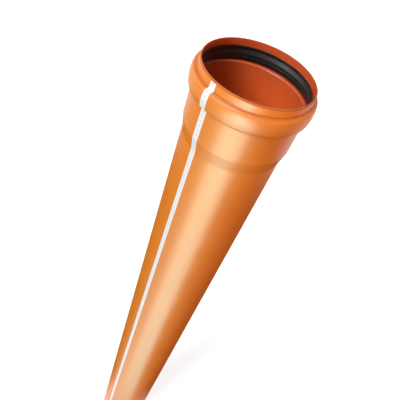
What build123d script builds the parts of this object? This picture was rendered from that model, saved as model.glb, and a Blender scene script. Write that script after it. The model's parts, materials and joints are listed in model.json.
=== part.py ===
from build123d import *
import os
from math import radians, tan

os.makedirs("parts", exist_ok=True)

# A length of PVC-U drain and sewer pipe with a formed socket, and the rubber ring in it.
# All sizes are in millimetres. The pipe stands on its plain end: the axis is +Z, the foot
# of the spigot is at Z = 0 and the mouth of the socket is on top.

# Barrel
outside_diameter = 315.0
wall = 7.7
laying_length = 3000.0  # plain end to the bottom of the socket, the length that is sold
spigot_bevel_angle = 15.0  # between the bevel and the axis
spigot_bevel_depth = 4.0  # what the bevel takes off the wall at the plain end

# Socket, measured down from the mouth and out from a spigot pushed into it
socket_depth = 183.0  # mouth to the bottom of the straight sleeve
sleeve_clearance = 0.8
mouth_clearance = 1.2
socket_wall = 7.5  # of the straight sleeve
lip_wall = 6.0  # where the lip meets the chamber
lip_taper = 2.7  # what the lip's outside draws in towards the mouth
taper_length = 44.0
taper_lag = 3.0  # the taper starts this much later outside than inside

# Ring chamber, inside the socket
chamber_start = 27.5
chamber_front_end = 34.8
chamber_crest = 51.0
chamber_back_start = 68.0
chamber_back_end = 74.4
chamber_front_depth = 11.7  # out from a spigot's skin
chamber_crest_depth = 15.1
chamber_back_depth = 12.1
chamber_wall = 6.6
back_face_wall = 9.8  # along the axis
front_face_lean = 2.9  # the outer front face leans this much along the axis

# Roundings and bevels of the pipe
mouth_round = 2.8
mouth_inner_bevel = 0.3
chamber_corner_bevel = 2.5
bulge_front_round = 5.3
bulge_back_round = 7.0
taper_round = 12.0

# Sealing ring: a thin skirt under the mouth, a fat sealing bead and a small bead behind it
seat_gap = 0.3
skirt_start = 21.5
skirt_thickness = 0.7
valley = 31.5
valley_depth = 4.3  # out from a spigot's skin, like the depths below
bead_start = 39.5
bead_start_depth = 1.45
bead_crest = 46.5
bead_clearance = 0.15  # the bead is drawn as a pushed-in spigot leaves it
bead_end = 50.4
bead_end_depth = 2.0
groove = 52.0
groove_depth = 4.0
back_bead_start = 53.4
back_bead_start_depth = 3.3
back_bead_crest = 57.0
back_bead_clearance = 2.3
ring_end = 63.5
ring_end_depth = 3.5
heel_bevel = 1.5

# Worked out from the sizes above
spigot_radius = outside_diameter / 2
bore_radius = spigot_radius - wall
total_length = laying_length + socket_depth
sleeve_radius = spigot_radius + sleeve_clearance
mouth_radius = spigot_radius + mouth_clearance
lip_radius = mouth_radius + lip_wall
spigot_bevel_length = spigot_bevel_depth / tan(radians(spigot_bevel_angle))


def below_mouth(depth):
    """Height of a point that lies this far under the mouth."""
    return total_length - depth


def corner_of(outline, point):
    """The outline's corner that lies nearest to a point."""
    return outline.vertices().sort_by_distance(point)[0]


# The room inside the pipe, from the axis out to the wall. The chamber bulges outwards
# between the mouth and the sleeve that takes the spigot.
chamber_front_edge = (mouth_radius, below_mouth(chamber_start))
chamber_front = (spigot_radius + chamber_front_depth, below_mouth(chamber_front_end))
chamber_top = (spigot_radius + chamber_crest_depth, below_mouth(chamber_crest))
chamber_back = (spigot_radius + chamber_back_depth, below_mouth(chamber_back_start))
chamber_back_edge = (sleeve_radius, below_mouth(chamber_back_end))
sleeve_bottom = (sleeve_radius, below_mouth(socket_depth))
taper_bottom = (bore_radius, below_mouth(socket_depth + taper_length))

with BuildSketch(Plane.XZ) as room:
    with BuildLine():
        Polyline((0, 0), (0, total_length), (mouth_radius, total_length), chamber_front_edge, chamber_front)
        ThreePointArc(chamber_front, chamber_top, chamber_back)
        Polyline(chamber_back, chamber_back_edge, sleeve_bottom, taper_bottom, (bore_radius, 0), (0, 0))
    make_face()
    for point in (chamber_front, chamber_back, chamber_back_edge):
        chamfer(corner_of(room, point), chamber_corner_bevel)

# The pipe's outer skin: every part of the socket lies one wall outside the room.
mouth_rim = (lip_radius - lip_taper, total_length)
bulge_front = (chamber_front[0] + chamber_wall, chamber_front[1] + chamber_wall)
bulge_top = (chamber_top[0] + chamber_wall, chamber_top[1])
bulge_back = (chamber_back[0] + chamber_wall, chamber_back[1] - back_face_wall)
crease = (lip_radius, bulge_front[1] + front_face_lean)
neck = (sleeve_radius + socket_wall, chamber_back_edge[1] - back_face_wall)
skin_taper_top = (neck[0], sleeve_bottom[1] - taper_lag)
skin_taper_bottom = (spigot_radius, taper_bottom[1] - taper_lag)
bevel_top = (spigot_radius, spigot_bevel_length)
bevel_foot = (spigot_radius - spigot_bevel_depth, 0)

with BuildPart() as pipe:
    with BuildSketch(Plane.XZ) as skin:
        with BuildLine():
            Polyline((0, 0), (0, total_length), mouth_rim, crease, bulge_front)
            ThreePointArc(bulge_front, bulge_top, bulge_back)
            Polyline(bulge_back, neck, skin_taper_top, skin_taper_bottom, bevel_top, bevel_foot, (0, 0))
        make_face()
        fillet(corner_of(skin, mouth_rim), mouth_round)
        fillet(corner_of(skin, bulge_front), bulge_front_round)
        fillet(corner_of(skin, bulge_back), bulge_back_round)
        fillet(corner_of(skin, skin_taper_top), taper_round)
        fillet(corner_of(skin, skin_taper_bottom), taper_round)
        add(room.sketch_local, mode=Mode.SUBTRACT)
        chamfer(corner_of(skin, (mouth_radius, total_length)), mouth_inner_bevel)
    revolve(axis=Axis.Z)

pipe.part.label = "pipe"
export_step(pipe.part, "parts/pipe.step")

# The ring fills the chamber's front. Its blank runs out past the wall, and what is left of
# it is what fits in the room, shrunk by the seat's gap.
skirt_radius = mouth_radius - seat_gap - skirt_thickness
blank_radius = bulge_top[0]
skirt_edge = (skirt_radius, below_mouth(skirt_start))
skirt_root = (skirt_radius, below_mouth(chamber_start))
valley_bottom = (spigot_radius + valley_depth, below_mouth(valley))
bead_front = (spigot_radius + bead_start_depth, below_mouth(bead_start))
bead_top = (spigot_radius + bead_clearance, below_mouth(bead_crest))
bead_back = (spigot_radius + bead_end_depth, below_mouth(bead_end))
groove_bottom = (spigot_radius + groove_depth, below_mouth(groove))
back_bead_front = (spigot_radius + back_bead_start_depth, below_mouth(back_bead_start))
back_bead_top = (spigot_radius + back_bead_clearance, below_mouth(back_bead_crest))
ring_foot = (spigot_radius + ring_end_depth, below_mouth(ring_end))
ring_heel = (blank_radius, below_mouth(ring_end))
blank_top = (blank_radius, below_mouth(skirt_start))

with BuildPart() as seal_ring:
    with BuildSketch(Plane.XZ) as ring_profile:
        with BuildLine():
            Polyline(ring_heel, blank_top, skirt_edge, skirt_root, valley_bottom, bead_front)
            TangentArc(bead_top, bead_front, tangent=(0, 1))
            TangentArc(bead_top, bead_back, tangent=(0, -1))
            Polyline(bead_back, groove_bottom, back_bead_front, back_bead_top, ring_foot, ring_heel)
        make_face()
        with BuildSketch(mode=Mode.INTERSECT):
            add(room.sketch_local)
            offset(amount=-seat_gap, kind=Kind.INTERSECTION, mode=Mode.REPLACE)
        chamfer(corner_of(ring_profile, ring_heel), heel_bevel)
    revolve(axis=Axis.Z)

seal_ring.part.label = "seal_ring"
export_step(seal_ring.part, "parts/seal_ring.step")
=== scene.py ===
# %% [markdown]
# # A drain pipe with a push-fit socket
#
# The object is one length of orange-brown PVC-U drain pipe, 315 mm across. One end is plain and
# bevelled. The other was heated and pushed over a former, so that it has a socket with a bulge
# round it, and a black rubber ring sits in that bulge. The pipe stands on its plain end.
#
# The CAD model gives every size. This script builds the same two pieces again with finer and
# cleaner meshes, gives them their finishes, and sets up a white studio round them.

# %% Load the frame
import json
from math import atan, cos, pi, radians, sin, tan

import bmesh
import bpy
from mathutils import Matrix, Vector


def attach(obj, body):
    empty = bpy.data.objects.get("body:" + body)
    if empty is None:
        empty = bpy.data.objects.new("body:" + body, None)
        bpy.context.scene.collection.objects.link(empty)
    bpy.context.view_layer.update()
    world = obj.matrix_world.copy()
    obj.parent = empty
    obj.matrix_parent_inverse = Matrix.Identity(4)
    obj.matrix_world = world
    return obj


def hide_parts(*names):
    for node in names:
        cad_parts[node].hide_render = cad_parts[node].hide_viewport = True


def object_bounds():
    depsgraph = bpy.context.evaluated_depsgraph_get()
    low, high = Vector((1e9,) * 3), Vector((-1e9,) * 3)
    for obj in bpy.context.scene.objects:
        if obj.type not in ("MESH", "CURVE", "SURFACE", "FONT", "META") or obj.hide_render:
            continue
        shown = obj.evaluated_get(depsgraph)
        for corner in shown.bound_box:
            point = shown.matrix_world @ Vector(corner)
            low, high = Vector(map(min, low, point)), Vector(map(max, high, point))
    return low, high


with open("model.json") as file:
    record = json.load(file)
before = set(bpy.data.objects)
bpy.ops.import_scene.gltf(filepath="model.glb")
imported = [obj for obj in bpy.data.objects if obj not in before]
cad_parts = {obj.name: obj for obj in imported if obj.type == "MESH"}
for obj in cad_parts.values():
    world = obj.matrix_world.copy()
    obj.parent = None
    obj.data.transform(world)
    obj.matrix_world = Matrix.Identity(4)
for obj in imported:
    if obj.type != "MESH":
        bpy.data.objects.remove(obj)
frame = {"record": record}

cad_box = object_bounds()
print("The CAD model stands from", tuple(cad_box[0]), "to", tuple(cad_box[1]))

# %% [markdown]
# ## The sizes of the pipe
#
# Pipe makers dimension a pipe by its outside, its bore and the inside of its socket. Typing
# them in again would work, but the record that comes with the CAD model states them, so they
# are taken from there. The two radii of the lip are given here, and so are the corners
# further down. All of this is in millimetres, and heights are given as a depth below the
# mouth, as on a drawing of a socket.

# %% Sizes of the pipe
MM = 0.001
LENGTH = round(cad_box[1][2] / MM, 1)  # mouth to plain end
radius_of = {mount["name"]: mount["dims"].get("r_mm") for mount in frame["record"]["mounts"]}
SPIGOT = radius_of["spigot"]  # outside of the barrel
BORE = radius_of["flow_bore"]  # inside of the barrel
SLEEVE = radius_of["socket"]  # inside of the socket, below the ring
MOUTH = 158.7  # inside of the lip
LIP = 164.7  # outside of the lip where it meets the bulge
print("Length", LENGTH, "spigot", SPIGOT, "bore", BORE, "sleeve", SLEEVE)


def height_at(depth):
    """The height in metres of a point this many millimetres below the mouth."""
    return (LENGTH - depth) * MM


# %% [markdown]
# ## Rounded corners
#
# A socket that was formed hot has no sharp corner outside. The Bevel modifier could round the
# edges of a mesh, but a pipe's whole shape is in one outline, the cut through its wall, and
# rounding the corners of that outline is simpler and exact. A corner is given as its radius,
# depth, rounding and finish.

# %% Round the corners of an outline
def rounded(corners, steps=6):
    """Replaces each corner (radius, depth, rounding, finish) by points on its rounding."""
    points = []
    for i, (r, depth, rounding, finish) in enumerate(corners):
        corner = Vector((r, depth))
        if rounding == 0:
            points.append((r, depth, finish))
            continue
        back = (Vector(corners[i - 1][:2]) - corner).normalized()
        ahead = (Vector(corners[(i + 1) % len(corners)][:2]) - corner).normalized()
        half = back.angle(ahead) / 2
        centre = corner + (back + ahead).normalized() * rounding / sin(half)
        start = corner + back * rounding / tan(half) - centre
        turn = start.angle_signed(corner + ahead * rounding / tan(half) - centre)
        for k in range(steps + 1):
            arm = start.copy()
            arm.rotate(Matrix.Rotation(-turn * k / steps, 2))
            points.append((centre.x + arm.x, centre.y + arm.y, finish))
    return points


# %% [markdown]
# ### Bows
#
# The bulge over the ring isn't flat: it bows out by about 3 mm. A bow is easiest to give as its
# two ends and its top. A curve object would round it too, but then an outline would be of two
# kinds. This helper turns the bow into a few more plain corners of the same list.

# %% Corners on an arc through three points
def bow(start, top, end, finish, count):
    """Corners without rounding on the arc through three points, both ends left out."""
    (ax, ay), (bx, by), (cx, cy) = start, top, end
    d = 2 * (ax * (by - cy) + bx * (cy - ay) + cx * (ay - by))
    sa, sb, sc = ax * ax + ay * ay, bx * bx + by * by, cx * cx + cy * cy
    centre = Vector(((sa * (by - cy) + sb * (cy - ay) + sc * (ay - by)) / d,
                     (sa * (cx - bx) + sb * (ax - cx) + sc * (bx - ax)) / d))
    first, last = Vector(start) - centre, Vector(end) - centre
    turn = first.angle_signed(last)
    corners = []
    for k in range(1, count):
        arm = first.copy()
        arm.rotate(Matrix.Rotation(-turn * k / count, 2))
        corners.append((centre.x + arm.x, centre.y + arm.y, 0, finish))
    return corners


# %% [markdown]
# ## The outline of the pipe
#
# Down the outside come the lip's edge, the lip, the crease where the bulge starts, the bulge,
# the neck, the straight sleeve, the taper and the barrel. Then come the plain end and the
# inside, back up to the mouth. Skin, cut ends and inside differ in looks, and they could be
# three objects, but their edges would have to meet. So each corner of one outline says which
# finish the wall has from there on.

# %% Corners outside and at the plain end
SKIN, END, INSIDE = 0, 1, 2
BULGE_FRONT, BULGE_TOP, BULGE_BACK = (175.8, 28.2), (179.2, 51.0), (176.2, 77.8)

skin_corners = [
    (LIP - 2.7, 0.0, 2.8, END),  # edge of the lip
    (LIP - 2.1, 5.2, 0, SKIN),
    (LIP, 25.3, 0.9, SKIN),  # crease
    (*BULGE_FRONT, 5.3, SKIN),
    *bow(BULGE_FRONT, BULGE_TOP, BULGE_BACK, SKIN, 12),
    (*BULGE_BACK, 7.0, SKIN),
    (165.8, 84.2, 3.0, SKIN),  # neck
    (165.8, 186.0, 12.0, SKIN),  # top of the taper
    (SPIGOT, 230.0, 12.0, SKIN),  # foot of the taper
    (SPIGOT, LENGTH - 14.93, 0.6, END),  # bevel of the plain end
]
end_corners = [
    (153.5, LENGTH, 0, END),
    (BORE, LENGTH, 0, INSIDE),
]

# %% Corners inside, and the whole outline
CHAMBER_BACK, CHAMBER_TOP, CHAMBER_FRONT = (169.6, 68.0), (172.6, 51.0), (169.2, 34.8)

inside_corners = [
    (BORE, 227.0, 12.0, INSIDE),
    (SLEEVE, 183.0, 12.0, INSIDE),
    (SLEEVE, 74.4, 4.2, INSIDE),  # step behind the ring
    (*CHAMBER_BACK, 2.0, INSIDE),
    *bow(CHAMBER_BACK, CHAMBER_TOP, CHAMBER_FRONT, INSIDE, 8),
    (*CHAMBER_FRONT, 2.0, INSIDE),
    (MOUTH, 27.5, 0, INSIDE),
    (MOUTH, 0.3, 0, END),
    (MOUTH + 0.3, 0.0, 0, END),
]
pipe_outline = rounded(skin_corners + end_corners + inside_corners)
print("The outline of the pipe has", len(pipe_outline), "points")

# %% [markdown]
# ## Turning an outline into a mesh
#
# The Screw modifier would turn the outline as well, but the faces need different finishes, and
# a few lines with bmesh keep the choice of finish beside each point. Every point goes round in
# even steps, and each face takes the finish of the point it starts from. An edge that is
# sharper than a given angle stays sharp, and the rest is shaded smooth.
#
# Blender keeps a mesh apart from the object that places it in the scene, so a first helper
# makes the object. Lamps, cards and the camera use it as well.

# %% Put a new object in the scene
def new_object(name, data):
    """An object that holds a mesh, a lamp or a lens."""
    thing = bpy.data.objects.new(name, data)
    bpy.context.scene.collection.objects.link(thing)
    return thing


# %% Turn an outline round the axis
def turned(name, outline, steps, sharp_angle):
    """A ring-shaped mesh object: the closed outline turned round the Z axis."""
    mesh = bpy.data.meshes.new(name)
    bm = bmesh.new()
    rings = []
    for k in range(steps):
        a = 2 * pi * k / steps
        rings.append([bm.verts.new((r * MM * cos(a), r * MM * sin(a), height_at(depth)))
                      for r, depth, finish in outline])
    for k in range(steps):
        here, there = rings[k], rings[(k + 1) % steps]
        for i, (r, depth, finish) in enumerate(outline):
            j = (i + 1) % len(outline)
            face = bm.faces.new((here[i], here[j], there[j], there[i]))
            face.material_index = finish
            face.smooth = True
    bmesh.ops.recalc_face_normals(bm, faces=bm.faces)
    bm.to_mesh(mesh)
    bm.free()
    mesh.set_sharp_from_angle(angle=radians(sharp_angle))
    print(name, "has", len(mesh.polygons), "faces")
    return new_object(name, mesh)


# %% [markdown]
# ### The pipe
#
# It takes the place of the CAD node of the same pipe. The CAD mesh has the right shape, but its
# long thin triangles shade unevenly where light grazes them. Even rows of quads don't.

# %% The pipe
AROUND = 192  # steps round the axis
pipe_wall = turned("pipe_wall", pipe_outline, AROUND, sharp_angle=28)
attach(pipe_wall, "root")
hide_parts("pipe")

# %% [markdown]
# ### The sealing ring
#
# The ring is moulded rubber. It has a thin skirt under the mouth, a fat bead that presses on
# the pipe pushed in, a groove, and a small bead behind it. Its back is shaped by the chamber.
# It could be a torus that is pushed into shape, but its section is what makes it seal, so it is
# turned from an outline like the pipe.

# %% Corners of the ring's front
RUBBER = 0
BEAD_START, BEAD_TOP, BEAD_END = (158.5, 41.4), (157.65, 46.5), (159.5, 50.4)

ring_front = [
    (157.7, 21.5, 0.2, RUBBER),  # skirt
    (157.7, 27.5, 1.0, RUBBER),
    (162.2, 31.5, 0.8, RUBBER),  # valley
    (*BEAD_START, 0, RUBBER),
    *bow(BEAD_START, (157.86, 43.9), BEAD_TOP, RUBBER, 5),
    (*BEAD_TOP, 0, RUBBER),
    *bow(BEAD_TOP, (158.11, 48.6), BEAD_END, RUBBER, 6),
    (*BEAD_END, 0, RUBBER),
    (161.5, 51.5, 0.3, RUBBER),  # groove
    (160.5, 51.9, 0.3, RUBBER),
    (159.9, 57.2, 1.0, RUBBER),  # small bead
    (161.0, 63.5, 0.5, RUBBER),
]

# %% Corners of the ring's back
HEEL, BACK_TOP, BACK_FRONT = (171.1, 62.0), (172.25, 51.6), (169.8, 37.3)

ring_back = [
    (169.3, 63.5, 0, RUBBER),
    (*HEEL, 0, RUBBER),
    *bow(HEEL, BACK_TOP, BACK_FRONT, RUBBER, 6),
    (*BACK_FRONT, 0, RUBBER),
    (166.9, 33.6, 0, RUBBER),
    (158.4, 27.7, 0, RUBBER),
    (158.4, 21.5, 0.2, RUBBER),
]

# %% The ring
ring_outline = rounded(ring_front + ring_back, steps=3)
sealing_ring = turned("sealing_ring", ring_outline, AROUND, sharp_angle=40)
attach(sealing_ring, "root")
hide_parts("seal_ring")

# %% [markdown]
# ## Effects that several finishes share
#
# Each effect is a shader node group, built once and placed in each material with its own
# values. A group is like a tool on the bench: it has named inputs, and gives back a mask. The
# nodes could be added by hand in the editor. A few small helpers come first instead, so that
# each node takes one line here.

# %% Start a node group
def new_group(name, **inputs):
    """An empty shader node group that gives back a mask. Its inputs are numbers."""
    group = bpy.data.node_groups.new(name, "ShaderNodeTree")
    for label, default in inputs.items():
        socket = group.interface.new_socket(
            name=label.replace("_", " "), in_out="INPUT", socket_type="NodeSocketFloat")
        socket.default_value = default
    group.interface.new_socket(name="Mask", in_out="OUTPUT", socket_type="NodeSocketFloat")
    return group, group.nodes.new("NodeGroupInput"), group.nodes.new("NodeGroupOutput")


# %% Feed a socket
def feed(tree, socket, value):
    """Gives a socket a number or an RGB tuple, or links another node's output to it."""
    if isinstance(value, bpy.types.NodeSocket):
        tree.links.new(value, socket)
    elif isinstance(value, tuple):
        socket.default_value = (*value, 1)
    else:
        socket.default_value = value


# %% Add a Math node
def maths(tree, operation, first, second=0.5, third=None, clamp=False):
    """A Math node. Each value is a number or the output of another node."""
    node = tree.nodes.new("ShaderNodeMath")
    node.operation = operation
    node.use_clamp = clamp
    for slot, value in enumerate((first, second, third)):
        if value is not None:
            feed(tree, node.inputs[slot], value)
    return node.outputs[0]


def between(tree, mask, low, high, clamp=False):
    """A number that is low where the mask is 0, and high where it is 1."""
    return maths(tree, "MULTIPLY_ADD", mask, high - low, low, clamp)


# %% Mix two colours
def mixed(tree, mask, first, second):
    """A Mix node for colours. Each is an RGB tuple or the output of another node."""
    node = tree.nodes.new("ShaderNodeMix")
    node.data_type = "RGBA"
    for slot, value in ((0, mask), (6, first), (7, second)):
        feed(tree, node.inputs[slot], value)
    return node.outputs[2]


# %% The place of a point
def place_on(tree):
    """Where the point lies on its object, in metres."""
    return tree.nodes.new("ShaderNodeTexCoord").outputs["Object"]


def axes_of(tree):
    """The same place as three outputs: x, y and z."""
    parts = tree.nodes.new("ShaderNodeSeparateXYZ")
    feed(tree, parts.inputs[0], place_on(tree))
    return parts.outputs


# %% Add noise
def noise(tree, vector, scale, detail=2.0, roughness=0.5):
    """A Noise Texture's value."""
    node = tree.nodes.new("ShaderNodeTexNoise")
    feed(tree, node.inputs["Vector"], vector)
    feed(tree, node.inputs["Scale"], scale)
    feed(tree, node.inputs["Detail"], detail)
    feed(tree, node.inputs["Roughness"], roughness)
    return node.outputs[0]


# %% [markdown]
# ### Draw lines
#
# A pipe is pressed out of a die, and the die leaves very faint lines along it. Stripes by the
# angle round the pipe would have a seam where the angle starts again. Noise that is squeezed in
# height runs out into lines instead, and has no seam.

# %% Draw lines along the pipe
def make_draw_lines():
    group, given, result = new_group("Draw lines", Per_metre=260.0, Stretch=0.012)
    factors = group.nodes.new("ShaderNodeCombineXYZ")
    for socket, factor in zip(factors.inputs, (1, 1, given.outputs["Stretch"])):
        feed(group, socket, factor)
    squeeze = group.nodes.new("ShaderNodeVectorMath")
    squeeze.operation = "MULTIPLY"
    feed(group, squeeze.inputs[0], place_on(group))
    feed(group, squeeze.inputs[1], factors.outputs[0])
    per_metre = given.outputs["Per metre"]
    lines = noise(group, squeeze.outputs[0], per_metre, detail=3.0, roughness=0.6)
    feed(group, result.inputs["Mask"], lines)
    return group


draw_lines = make_draw_lines()
print("Built the group", draw_lines.name)

# %% [markdown]
# ### Clouding
#
# No moulded or extruded plastic has quite one colour. Wide soft patches of it are a touch
# lighter or darker, and a touch more or less glossy. One noise with much detail could give
# them, but two scales that are mixed keep the patches soft and still put a little grain in.

# %% Soft clouding
FINE_SHARE = 0.3  # what the fine scale adds to the whole


def make_clouding():
    group, given, result = new_group("Clouding", Per_metre=7.0, Fine_per_metre=90.0)
    wide = noise(group, place_on(group), given.outputs["Per metre"])
    fine = noise(group, place_on(group), given.outputs["Fine per metre"])
    fine = maths(group, "MULTIPLY", fine, FINE_SHARE)
    feed(group, result.inputs["Mask"], maths(group, "MULTIPLY_ADD", wide, 1 - FINE_SHARE, fine))
    return group


clouding = make_clouding()
print("Built the group", clouding.name)

# %% [markdown]
# ### Painted shade in a corner
#
# An inside corner gets less light than the faces round it, so it reads as a thin darker line.
# This group paints that shade into the colour, in uneven patches. The Ambient Occlusion node
# finds any corner, but it is slow. The corners of a pipe run round it at one height, so a mask
# that is strongest at that height and fades a few millimetres either side does the same.

# %% Painted shade in a corner that runs round the pipe
SHADE_PATCHES = 40.0  # for each metre
SHADE_RANGE = (0.6, 1.1)  # strength in the thinnest and in the thickest patch


def make_corner_shade():
    # A mask of painted shade: strongest at the given height, fading within the reach, in patches.
    group, given, result = new_group("Corner shade", Height=3.0, Reach=0.003)
    off = maths(group, "SUBTRACT", axes_of(group)[2], given.outputs["Height"])
    share = maths(group, "DIVIDE", maths(group, "ABSOLUTE", off), given.outputs["Reach"])
    near = maths(group, "SUBTRACT", 1.0, share, clamp=True)
    uneven = between(group, noise(group, place_on(group), SHADE_PATCHES), *SHADE_RANGE)
    feed(group, result.inputs["Mask"], maths(group, "MULTIPLY", near, uneven, clamp=True))
    return group


corner_shade = make_corner_shade()
print("Built the group", corner_shade.name)

# %% [markdown]
# ## The finishes
#
# Every finish here is one Principled shader. What is the same all over the surface, such as the
# index of refraction, is set on the shader's own socket, and what changes over it comes from
# nodes. These helpers start a material, place a group in it, and feed the shader in the end.
# Copying one finished material would be quicker, but hides what the finishes share.

# %% Start a material
def new_finish(name, ior, gloss):
    """A material with one Principled shader, its nodes, and the shader itself."""
    material = bpy.data.materials.new(name)
    material.use_nodes = True
    tree = material.node_tree
    shader = tree.nodes["Principled BSDF"]
    feed(tree, shader.inputs["IOR"], ior)
    feed(tree, shader.inputs["Specular IOR Level"], gloss)
    return material, tree, shader


# %% Place a group
def placed(tree, group, **values):
    """An effect group put into a material, with its own values."""
    node = tree.nodes.new("ShaderNodeGroup")
    node.node_tree = group
    for label, value in values.items():
        feed(tree, node.inputs[label.replace("_", " ")], value)
    return node.outputs[0]


def painted_shade_at(tree, depth, reach):
    """Painted corner shade at a depth below the mouth, with its reach, both in millimetres."""
    return placed(tree, corner_shade, Height=height_at(depth), Reach=reach * MM)


# %% Feed the shader
def dress(tree, shader, colour, roughness, height, distance):
    """Feeds the shader its colour and roughness, and a height through a Bump node."""
    feed(tree, shader.inputs["Base Color"], colour)
    feed(tree, shader.inputs["Roughness"], roughness)
    bump = tree.nodes.new("ShaderNodeBump")
    feed(tree, bump.inputs["Height"], height)
    feed(tree, bump.inputs["Distance"], distance)
    feed(tree, shader.inputs["Normal"], bump.outputs[0])


# %% [markdown]
# ### The stripe
#
# A line of print runs down the whole pipe: a white stripe with small marks on it. A picture
# could hold it, but needs a file and an unwrapped mesh. The angle round the pipe gives the
# stripe as a mask, and the height gives the marks, which here are plain dashes, all alike.

# %% Masks of the stripe and of its dashes
STRIPE_AT = radians(-125.8)
STRIPE_HALF = radians(3.4)
STRIPE_SOFT = radians(0.12)
DASH_PITCH = 0.016
DASH_SHARE = 0.55  # of the pitch
DASH_HALF = radians(0.45)


def stripe_masks(tree):
    """Where the white stripe lies on the skin, and where the dashes on it lie."""
    x, y, z = axes_of(tree)
    off = maths(tree, "SUBTRACT", maths(tree, "ARCTAN2", y, x), STRIPE_AT)
    off = maths(tree, "ABSOLUTE", off)
    stripe = tree.nodes.new("ShaderNodeMapRange")
    feed(tree, stripe.inputs["Value"], off)
    feed(tree, stripe.inputs["From Min"], STRIPE_HALF + STRIPE_SOFT)
    feed(tree, stripe.inputs["From Max"], STRIPE_HALF - STRIPE_SOFT)
    along = maths(tree, "FRACT", maths(tree, "MULTIPLY", z, 1 / DASH_PITCH))
    dash = maths(tree, "LESS_THAN", along, DASH_SHARE)
    thin = maths(tree, "LESS_THAN", off, DASH_HALF)
    return stripe.outputs[0], maths(tree, "MULTIPLY", dash, thin)


# %% [markdown]
# ### The skin
#
# Orange-brown PVC-U is coloured right through, and comes off the line with a satin gloss. Two
# shades of it are mixed by the clouding, and the draw lines lift it a little. Painted shade
# darkens the crease under the lip and the neck behind the bulge. The same clouding makes the
# gloss uneven. A clear coat over a matt base would shine much the same, but PVC has no coat.

# %% Values of the skin
PVC_IOR = 1.54
PVC_GLOSS = 0.36
PVC_LIGHT = (0.77, 0.232, 0.010)
PVC_DARK = (0.72, 0.205, 0.007)
SKIN_ROUGH = (0.30, 0.42)  # where the clouding is 0 and 1
LINE_LIFT = (-0.1, 0.2)  # what the draw lines lift the colour
LINE_HEIGHT = 0.02 * MM
# Painted shade in the crease under the lip and at the neck: depth, reach and colour.
CREASE_SHADE_AT = (24.7, 4.4)  # depth and reach
NECK_SHADE_AT = (83.5, 3.0)
NECK_SHARE = 0.7
CORNER_SHADE_DARK = (0.42, 0.085, 0.004)
PRINT_WHITE = (0.84, 0.84, 0.84)
PRINT_GREY = (0.24, 0.27, 0.36)
PRINT_SHARE = 0.4  # of the grey in a dash
PRINT_ROUGHER = 0.1


# %% The skin of the pipe
def make_skin():
    material, tree, shader = new_finish("orange_brown_skin", PVC_IOR, PVC_GLOSS)
    clouds = placed(tree, clouding)
    lines = placed(tree, draw_lines)
    shade = mixed(tree, clouds, PVC_DARK, PVC_LIGHT)
    shade = mixed(tree, between(tree, lines, *LINE_LIFT, clamp=True), shade, PVC_LIGHT)
    # Painted shade darkens the crease under the lip, and more weakly the neck.
    shade = mixed(tree, painted_shade_at(tree, *CREASE_SHADE_AT), shade, CORNER_SHADE_DARK)
    neck = maths(tree, "MULTIPLY", painted_shade_at(tree, *NECK_SHADE_AT), NECK_SHARE)
    shade = mixed(tree, neck, shade, CORNER_SHADE_DARK)
    stripe, dashes = stripe_masks(tree)
    ink = mixed(tree, maths(tree, "MULTIPLY", dashes, PRINT_SHARE), PRINT_WHITE, PRINT_GREY)
    shade = mixed(tree, stripe, shade, ink)
    dull = between(tree, clouds, *SKIN_ROUGH)
    dull = maths(tree, "MULTIPLY_ADD", stripe, PRINT_ROUGHER, dull)
    dress(tree, shader, shade, dull, lines, LINE_HEIGHT)
    return material


pipe_wall.data.materials.append(make_skin())

# %% [markdown]
# ### The cut ends
#
# The plain end is sawn and bevelled, and the lip's edge is trimmed. A blade that goes round
# leaves a duller face with fine rings. A Wave Texture makes rings too, but a sine of the radius
# is the same in one node, and the clouding can bend it a little, so that it isn't too regular.

# %% The cut ends
END_GLOSS = 0.1
# Both shades are darker than the skin: partly the sawn face's own tone, partly painted shade for
# the rim's top, which faces up, away from the low key.
END_LIGHT = (0.58, 0.152, 0.037)
END_DARK = (0.51, 0.115, 0.020)
END_ROUGH = (0.42, 0.67)
TOOL_MARKS = 7000.0  # radians for each metre of radius
TOOL_WANDER = 14.0  # radians
TOOL_CONTRAST = 0.2
TOOL_HEIGHT = 0.03 * MM


def make_cut_end():
    material, tree, shader = new_finish("cut_end", PVC_IOR, END_GLOSS)
    x, y, z = axes_of(tree)
    squares = maths(tree, "ADD", maths(tree, "MULTIPLY", x, x), maths(tree, "MULTIPLY", y, y))
    radius = maths(tree, "SQRT", squares)
    cloud = placed(tree, clouding, Per_metre=60.0, Fine_per_metre=500.0)
    wander = maths(tree, "MULTIPLY", cloud, TOOL_WANDER)
    rings = maths(tree, "SINE", maths(tree, "MULTIPLY_ADD", radius, TOOL_MARKS, wander))
    mask = maths(tree, "MULTIPLY_ADD", rings, TOOL_CONTRAST, cloud)
    shade = mixed(tree, mask, END_DARK, END_LIGHT)
    dress(tree, shader, shade, between(tree, cloud, *END_ROUGH), rings, TOOL_HEIGHT)
    return material


pipe_wall.data.materials.append(make_cut_end())

# %% [markdown]
# ### The inside
#
# The bore is the same plastic, but its colour is painted darker and redder than the skin's, as
# painted shade for the light that bounces about in it, and its draw lines are wider apart. The
# inside is painted darker round the ring, fading towards the mouth and down the socket, and a
# painted shadow of the ring darkens the step behind it. One material for skin and inside would
# be less work, but would look too pale in here.

# %% The inside of the pipe
# Darker and redder than the skin: painted shade for the light that bounces about inside.
INSIDE_LIGHT = (0.68, 0.110, 0.021)
INSIDE_DARK = (0.62, 0.094, 0.018)
INSIDE_ROUGH = (0.28, 0.40)
INSIDE_LINE_HEIGHT = 0.03 * MM
# Painted shade: darkest round the ring, fading towards the mouth and down the socket.
UPPER_SHADE_DARK = (0.45, 0.070, 0.018)
UPPER_SHADE_AT = (60.0, 100.0)  # depth and reach
# Painted shadow of the ring on the step behind it.
RING_SHADOW_DARK = (0.06, 0.012, 0.004)
RING_SHADOW_AT = (68.5, 3.8)
RING_SHADOW_SHARE = 0.95


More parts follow.
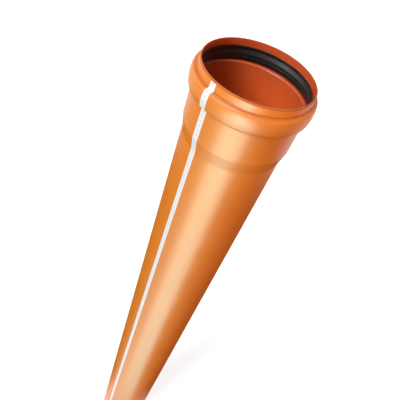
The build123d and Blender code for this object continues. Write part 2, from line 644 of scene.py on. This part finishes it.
def make_inside():
    material, tree, shader = new_finish("orange_brown_inside", PVC_IOR, PVC_GLOSS)
    clouds = placed(tree, clouding)
    lines = placed(tree, draw_lines, Per_metre=180.0)
    shade = mixed(tree, clouds, INSIDE_DARK, INSIDE_LIGHT)
    # Painted shade round the ring, then the ring's painted shadow on the step behind it.
    shade = mixed(tree, painted_shade_at(tree, *UPPER_SHADE_AT), shade, UPPER_SHADE_DARK)
    ring_shadow = maths(tree, "MULTIPLY", painted_shade_at(tree, *RING_SHADOW_AT), RING_SHADOW_SHARE)
    shade = mixed(tree, ring_shadow, shade, RING_SHADOW_DARK)
    dull = between(tree, clouds, *INSIDE_ROUGH)
    dress(tree, shader, shade, dull, lines, INSIDE_LINE_HEIGHT)
    return material


pipe_wall.data.materials.append(make_inside())
print("Finishes of the pipe:", [material.name for material in pipe_wall.data.materials])

# %% [markdown]
# ### The black rubber
#
# Moulded rubber is black with a soft sheen, which its lubricant and a faint bloom make uneven.
# Pure black would swallow the ring's shape, so the darkest shade is a little above it, and a
# very fine grain breaks up the reflections. The shader's Sheen would be the wrong tool: it is
# for cloth fibres, so the plain gloss does it.

# %% The rubber of the ring
RUBBER_IOR = 1.52
RUBBER_GLOSS = 0.4
RUBBER_LIGHT = (0.020, 0.0185, 0.017)
RUBBER_DARK = (0.008, 0.0075, 0.007)
RUBBER_ROUGH = (0.26, 0.46)
GRAIN = 1400.0  # for each metre
GRAIN_HEIGHT = 0.04 * MM


def make_rubber():
    material, tree, shader = new_finish("black_rubber", RUBBER_IOR, RUBBER_GLOSS)
    bloom = placed(tree, clouding, Per_metre=25.0, Fine_per_metre=260.0)
    shade = mixed(tree, bloom, RUBBER_DARK, RUBBER_LIGHT)
    grain = noise(tree, place_on(tree), GRAIN, detail=3.0, roughness=0.6)
    dress(tree, shader, shade, between(tree, bloom, *RUBBER_ROUGH), grain, GRAIN_HEIGHT)
    return material


sealing_ring.data.materials.append(make_rubber())
print("Finish of the ring:", sealing_ring.data.materials[0].name)

# %% [markdown]
# ## The studio
#
# The pipe stands in a white room. If lamps alone made the floor white, they would burn out the
# pipe as well. So the floor glows, but only for rays that come straight from the camera, off
# gloss or through glass, and it lights nothing. It is also a plain matt floor, which takes the
# pipe's shadow.

# %% Does a ray come to look, or to light?
def looking(tree):
    """1 for camera, glossy and transmission rays, and 0 for the rays that carry light."""
    path = tree.nodes.new("ShaderNodeLightPath")
    seen = maths(tree, "ADD", path.outputs["Is Camera Ray"], path.outputs["Is Glossy Ray"])
    return maths(tree, "ADD", seen, path.outputs["Is Transmission Ray"], clamp=True)


# %% The floor
WHITE = (1, 1, 1)
FLOOR_RADIUS = 60.0
FLOOR_SHADE = (0.6, 0.6, 0.6)
FLOOR_GLOW = 0.8


def make_floor():
    mesh = bpy.data.meshes.new("floor")
    bm = bmesh.new()
    bmesh.ops.create_circle(bm, cap_ends=True, segments=96, radius=FLOOR_RADIUS)
    bm.to_mesh(mesh)
    bm.free()
    floor = new_object("floor", mesh)
    material, tree, shader = new_finish("white_floor", ior=1.5, gloss=0)
    feed(tree, shader.inputs["Base Color"], FLOOR_SHADE)
    feed(tree, shader.inputs["Roughness"], 1)
    feed(tree, shader.inputs["Emission Color"], WHITE)
    glow = maths(tree, "MULTIPLY", looking(tree), FLOOR_GLOW)
    feed(tree, shader.inputs["Emission Strength"], glow)
    mesh.materials.append(material)


make_floor()
print("The floor is", 2 * FLOOR_RADIUS, "m across")

# %% [markdown]
# ### The world
#
# The air round the stage is white to look at, but gives only a little soft light from all
# sides. A large white dome would do it too, with one more thing on the stage.

# %% The world
AMBIENT = 0.15


def make_world():
    world = bpy.data.worlds.new("white_room")
    world.use_nodes = True
    bpy.context.scene.world = world
    tree = world.node_tree
    glow = tree.nodes["Background"]
    feed(tree, glow.inputs["Color"], WHITE)
    feed(tree, glow.inputs["Strength"], between(tree, looking(tree), AMBIENT, 1))


make_world()
print("The world shines with", AMBIENT, "of the brightness it shows")

# %% [markdown]
# ### The lamps
#
# A soft box near a 3 m pipe would light its top more than its foot. A Sun lamp is infinitely
# far away, so it lights the whole length alike, and its angle makes it soft. The key comes from
# the front left. The fill from the right is warm, so that the shaded side stays a deep
# orange-brown and doesn't turn grey. It is very low, so that it doesn't shine into the mouth.
# Two more lamps light the back, without glints, which would show along the pipe's edge.

# %% A direction from its angles, and the turn of a lamp
def towards(azimuth, elevation):
    """The direction with this azimuth and elevation in degrees."""
    a, e = radians(azimuth), radians(elevation)
    return Vector((cos(a) * cos(e), sin(a) * cos(e), sin(e)))


def shining_from(way):
    """The turn of a lamp that stands out this way and shines back."""
    return (-way).to_track_quat("-Z", "Y").to_euler()


# %% Far lamps
def sun(name, azimuth, elevation, spread, strength, colour=WHITE, glints=True):
    """A far lamp. All angles are in degrees. Without glints it gives no highlight."""
    lamp = bpy.data.lights.new(name, "SUN")
    lamp.color = colour
    lamp.angle = radians(spread)
    lamp.energy = strength
    stand = new_object(name, lamp)
    stand.visible_glossy = glints
    stand.rotation_euler = shining_from(towards(azimuth, elevation))


FILL_RED = (1.0, 0.36, 0.22)
SIDE_RED = (1.0, 0.55, 0.4)
sun("key_light", azimuth=-128, elevation=36, spread=24, strength=2.7)
sun("fill_light", azimuth=-30, elevation=1.5, spread=5, strength=1.25, colour=FILL_RED)
sun("back_light", azimuth=65, elevation=3, spread=8, strength=1.0, glints=False)
sun("side_light", azimuth=150, elevation=2, spread=6, strength=0.6, colour=SIDE_RED, glints=False)

# %% [markdown]
# ### A lamp for the mouth
#
# The key alone leaves the inside too dark, and a stronger key would burn out the lip. A
# photographer would put a snoot on a lamp, a tube that narrows its beam, and shine it into the
# mouth. A Spot lamp with a narrow cone is that.

# %% The lamp that shines into the mouth
MOUTH_CENTRE = Vector((0, 0, height_at(0)))


def snoot(name, azimuth, elevation, distance, beam, power):
    """A spot lamp whose beam has the given radius where it meets the mouth."""
    lamp = bpy.data.lights.new(name, "SPOT")
    lamp.energy = power
    lamp.shadow_soft_size = 0.25
    lamp.spot_size = 2 * atan(beam / distance)
    lamp.spot_blend = 0.2
    stand = new_object(name, lamp)
    way = towards(azimuth, elevation)
    stand.location = MOUTH_CENTRE + way * distance
    stand.rotation_euler = shining_from(way)


snoot("mouth_light", azimuth=-122, elevation=63, distance=2.5, beam=0.17, power=190)
print("Lamps:", [lamp.name for lamp in bpy.data.lights])

# %% [markdown]
# ### Cards for the gloss
#
# Gloss shows what stands round an object, so photographers put white and black cards there.
# They could be matt boards that a lamp lights, but a card that glows by itself, and that only
# glossy rays see, changes the reflections and nothing else. The glow can grow towards the far
# end, like a board that is lit from that side. The two cards that make the broad highlights are
# short of red, because orange plastic has so much red already that a white glint looks pink.

# %% The paper of a card
def paper(name, glow, growth, colour):
    """A glowing paper. The glow grows by growth for each metre from the stage's middle."""
    material = bpy.data.materials.new(name)
    material.use_nodes = True
    tree = material.node_tree
    tree.nodes.clear()
    emission = tree.nodes.new("ShaderNodeEmission")
    feed(tree, emission.inputs["Strength"], glow)
    feed(tree, emission.inputs["Color"], colour)
    if growth:
        reach = tree.nodes.new("ShaderNodeVectorMath")
        reach.operation = "LENGTH"
        feed(tree, reach.inputs[0], place_on(tree))
        growing = maths(tree, "MULTIPLY_ADD", reach.outputs["Value"], growth, glow)
        feed(tree, emission.inputs["Strength"], growing)
    out = tree.nodes.new("ShaderNodeOutputMaterial")
    feed(tree, out.inputs["Surface"], emission.outputs[0])
    return material


# %% Put up a card
def put_up(name, corners, faces, glow, growth=0.0, colour=WHITE):
    """A card from its corners and faces. Only glossy rays see it."""
    mesh = bpy.data.meshes.new(name)
    mesh.from_pydata(corners, [], faces)
    mesh.materials.append(paper(name + "_paper", glow, growth, colour))
    card = new_object(name, mesh)
    card.visible_camera = False
    card.visible_diffuse = False
    card.visible_shadow = False


# %% [markdown]
# ### Cards on the floor
#
# Seen from above, the upright wall of a pipe mirrors the floor, so most cards lie there. The
# bright one makes the long highlight down the front. The lip leans back and mirrors the floor
# further out, so it has its own. The black cards keep the sides and the lower barrel deep in
# colour. Upright cards would only show to a camera that stands lower.

# %% Cards that lie on the floor
CARD_HEIGHT = Vector((0, 0, 0.01))
CARD_STEPS = 16


def low_card(name, first, last, near, far, **light):
    """A part of a flat ring round the pipe, from the first azimuth to the last."""
    corners = []
    for k in range(CARD_STEPS + 1):
        edge = towards(first + (last - first) * k / CARD_STEPS, 0)
        corners += [edge * near + CARD_HEIGHT, edge * far + CARD_HEIGHT]
    faces = [(2 * k, 2 * k + 1, 2 * k + 3, 2 * k + 2) for k in range(CARD_STEPS)]
    put_up(name, corners, faces, **light)


BARREL_TINT = (0.42, 1.04, 1.04)
low_card("bright_card", first=-118, last=-66, near=0.3, far=7.0,
         glow=0.3, growth=3.3, colour=BARREL_TINT)
low_card("lip_card", first=-103, last=-79, near=7.0, far=15.0, glow=26.0)
low_card("dark_card", first=-64, last=10, near=0.3, far=30.0, glow=0.0)
low_card("right_card", first=10, last=80, near=0.3, far=3.8, glow=0.0)
low_card("left_card", first=100, last=196, near=0.3, far=3.8, glow=0.0)

# %% [markdown]
# ### Cards in the air
#
# The bulge's shoulder faces up and mirrors a card overhead. The ring's bead mirrors what stands
# low over the rim: a bright card on the left and a black one on the right. One bent card could
# do all three, but each needs its own strength.

# %% Cards that face the mouth
def high_card(name, azimuth, elevation, distance, width, height, **light):
    """A card in the air that faces the mouth."""
    way = towards(azimuth, elevation)
    across = towards(azimuth + 90, 0)
    upwards = way.cross(across)
    middle = MOUTH_CENTRE + way * distance
    corners = [middle + across * (i * width / 2) + upwards * (j * height / 2)
               for i, j in ((-1, -1), (1, -1), (1, 1), (-1, 1))]
    put_up(name, corners, [(0, 1, 2, 3)], **light)


SHOULDER_TINT = (0.3, 1.1, 1.2)
high_card("shoulder_card", azimuth=180, elevation=83, distance=4.0, width=3.0, height=1.3,
          glow=10.0, colour=SHOULDER_TINT)
high_card("ring_card", azimuth=-165, elevation=16, distance=4.0, width=8.0, height=1.3, glow=5.5)
high_card("ring_flag", azimuth=-12, elevation=18, distance=4.0, width=9.5, height=2.6, glow=0.0)

# %% [markdown]
# ## The camera
#
# It stands about a metre from the mouth, half a metre above it, and looks steeply down, tilted
# to the side, so that the pipe runs away to its foot. An empty to aim at would place it as well,
# but the camera's three directions are known here, so they are set as they are.

# %% The camera
EYE = Vector((-0.0232, -0.9890, 3.6881))
RIGHT = Vector((0.92975, 0.26734, 0.25318))
UP = Vector((-0.36820, 0.67720, 0.63705))
AHEAD = Vector((0.00115, 0.68551, -0.72806))

lens = bpy.data.cameras.new("camera")
lens.sensor_width = 36.0
lens.lens = 35.97
lens.clip_end = 200.0
camera = new_object("camera", lens)
turn = Matrix((RIGHT, UP, -AHEAD)).transposed()
camera.matrix_world = Matrix.Translation(EYE) @ turn.to_4x4()
bpy.context.scene.camera = camera
bpy.context.scene.view_settings.view_transform = "Standard"
print("From the camera to the mouth:", round((EYE - MOUTH_CENTRE).length, 3), "m")
